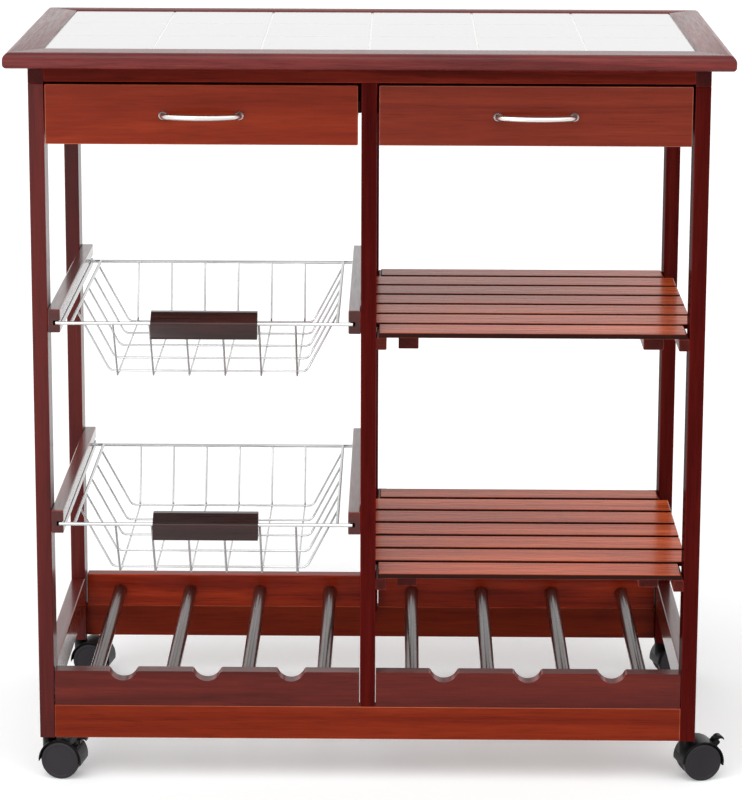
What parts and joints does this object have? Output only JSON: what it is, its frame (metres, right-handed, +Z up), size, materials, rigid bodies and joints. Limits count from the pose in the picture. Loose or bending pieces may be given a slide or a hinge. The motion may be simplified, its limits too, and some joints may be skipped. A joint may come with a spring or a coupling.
{
  "type": "kitchen serving trolley",
  "caption": "Wooden kitchen trolley on swivel casters with a tiled worktop, drawers, sliding wire baskets, slatted shelves and a bottle rack.",
  "frame": {"origin": "on the floor, under the middle of the worktop", "axes": "+X to the right seen from the drawer side, +Y to the back, +Z up"},
  "size_m": [0.7321, 0.403, 0.76],
  "materials": {
    "bright_wire": "bright chrome plate",
    "caster_plastic": "satin moulded nylon",
    "dark_wood": "gloss lacquer over a dark cherry stain",
    "drawer_box_wood": "thin lacquer",
    "front_wood": "gloss lacquer over a cherry stain",
    "grip_wood": "satin lacquer over a dark stain",
    "grout": "matte cement",
    "handle_metal": "satin chrome plate",
    "screw_steel": "zinc plate",
    "slat_wood": "gloss lacquer over a light cherry stain",
    "tile": "gloss glazed ceramic",
    "wheel_plastic": "satin moulded nylon"
  },
  "bodies": {
    "frame": {"back_apron": "dark_wood", "back_bottom_rail": "dark_wood", "back_centre_post": "dark_wood", "back_left_post": "dark_wood", "back_right_post": "dark_wood", "basket_rails": "dark_wood", "caster_sockets": "screw_steel", "drawer_runners": "dark_wood", "front_apron": "dark_wood", "front_bottom_rail": "front_wood", "front_centre_post": "dark_wood", "front_left_post": "dark_wood", "front_right_post": "dark_wood", "left_rack_front": "dark_wood", "lower_shelf_slats": "slat_wood", "rack_backs": "dark_wood", "rack_dowels": "dark_wood", "rack_sides": "dark_wood", "right_rack_front": "dark_wood", "shelf_battens": "dark_wood", "shelf_bearers": "dark_wood", "side_panels": "dark_wood", "tile_grout": "grout", "tiles": "tile", "top_back_moulding": "dark_wood", "top_battens": "dark_wood", "top_front_moulding": "dark_wood", "top_panel": "dark_wood", "top_side_mouldings": "dark_wood", "upper_shelf_slats": "slat_wood"},
    "back_left_wheels": {"back_left_caster_axle": "screw_steel", "back_left_caster_wheels": "wheel_plastic"},
    "back_left_caster": {"back_left_caster_hood": "caster_plastic"},
    "back_right_wheels": {"back_right_caster_axle": "screw_steel", "back_right_caster_wheels": "wheel_plastic"},
    "back_right_caster": {"back_right_caster_hood": "caster_plastic"},
    "front_left_lever": {"front_left_brake_lever": "caster_plastic"},
    "front_left_wheels": {"front_left_caster_axle": "screw_steel", "front_left_caster_wheels": "wheel_plastic"},
    "front_left_caster": {"front_left_caster_hood": "caster_plastic"},
    "front_right_lever": {"front_right_brake_lever": "caster_plastic"},
    "front_right_wheels": {"front_right_caster_axle": "screw_steel", "front_right_caster_wheels": "wheel_plastic"},
    "front_right_caster": {"front_right_caster_hood": "caster_plastic"},
    "left_drawer": {"left_drawer_back": "drawer_box_wood", "left_drawer_floor": "drawer_box_wood", "left_drawer_front": "front_wood", "left_drawer_handle": "handle_metal", "left_drawer_sides": "drawer_box_wood", "left_handle_screws": "screw_steel"},
    "lower_basket": {"lower_basket": "bright_wire", "lower_basket_grip": "grip_wood"},
    "right_drawer": {"right_drawer_back": "drawer_box_wood", "right_drawer_floor": "drawer_box_wood", "right_drawer_front": "front_wood", "right_drawer_handle": "handle_metal", "right_drawer_sides": "drawer_box_wood", "right_handle_screws": "screw_steel"},
    "upper_basket": {"upper_basket": "bright_wire", "upper_basket_grip": "grip_wood"}
  },
  "joints": [
    {"name": "left_drawer_slide", "type": "slide", "parent": "frame", "child": "left_drawer", "axis": [0, -1, 0], "range_m": [0, 0.25]},
    {"name": "right_drawer_slide", "type": "slide", "parent": "frame", "child": "right_drawer", "axis": [0, -1, 0], "range_m": [0, 0.25]},
    {"name": "upper_basket_slide", "type": "slide", "parent": "frame", "child": "upper_basket", "axis": [0, -1, 0], "range_m": [0, 0.24]},
    {"name": "lower_basket_slide", "type": "slide", "parent": "frame", "child": "lower_basket", "axis": [0, -1, 0], "range_m": [0, 0.24]},
    {"name": "front_left_swivel", "type": "hinge", "parent": "frame", "child": "front_left_caster", "pos_m": [-0.33075, -0.1625, 0.045], "axis": [0, 0, 1], "continuous": true},
    {"name": "front_left_roll", "type": "hinge", "parent": "front_left_caster", "child": "front_left_wheels", "pos_m": [-0.31643, -0.16477, 0.02], "axis": [0.1564, 0.9877, 0], "continuous": true},
    {"name": "front_left_brake", "type": "hinge", "parent": "front_left_caster", "child": "front_left_lever", "pos_m": [-0.29873, -0.16757, 0.03856], "axis": [0.1564, 0.9877, 0], "range_deg": [0, 25]},
    {"name": "front_right_swivel", "type": "hinge", "parent": "frame", "child": "front_right_caster", "pos_m": [0.33075, -0.1625, 0.045], "axis": [0, 0, 1], "continuous": true},
    {"name": "front_right_roll", "type": "hinge", "parent": "front_right_caster", "child": "front_right_wheels", "pos_m": [0.34482, -0.15899, 0.02], "axis": [-0.2419, 0.9703, 0], "continuous": true},
    {"name": "front_right_brake", "type": "hinge", "parent": "front_right_caster", "child": "front_right_lever", "pos_m": [0.36221, -0.15466, 0.03856], "axis": [-0.2419, 0.9703, 0], "range_deg": [0, 25]},
    {"name": "back_left_swivel", "type": "hinge", "parent": "frame", "child": "back_left_caster", "pos_m": [-0.33075, 0.1625, 0.045], "axis": [0, 0, 1], "continuous": true},
    {"name": "back_left_roll", "type": "hinge", "parent": "back_left_caster", "child": "back_left_wheels", "pos_m": [-0.31643, 0.16023, 0.02], "axis": [0.1564, 0.9877, 0], "continuous": true},
    {"name": "back_right_swivel", "type": "hinge", "parent": "frame", "child": "back_right_caster", "pos_m": [0.33075, 0.1625, 0.045], "axis": [0, 0, 1], "continuous": true},
    {"name": "back_right_roll", "type": "hinge", "parent": "back_right_caster", "child": "back_right_wheels", "pos_m": [0.34482, 0.16601, 0.02], "axis": [-0.2419, 0.9703, 0], "continuous": true}
  ]
}
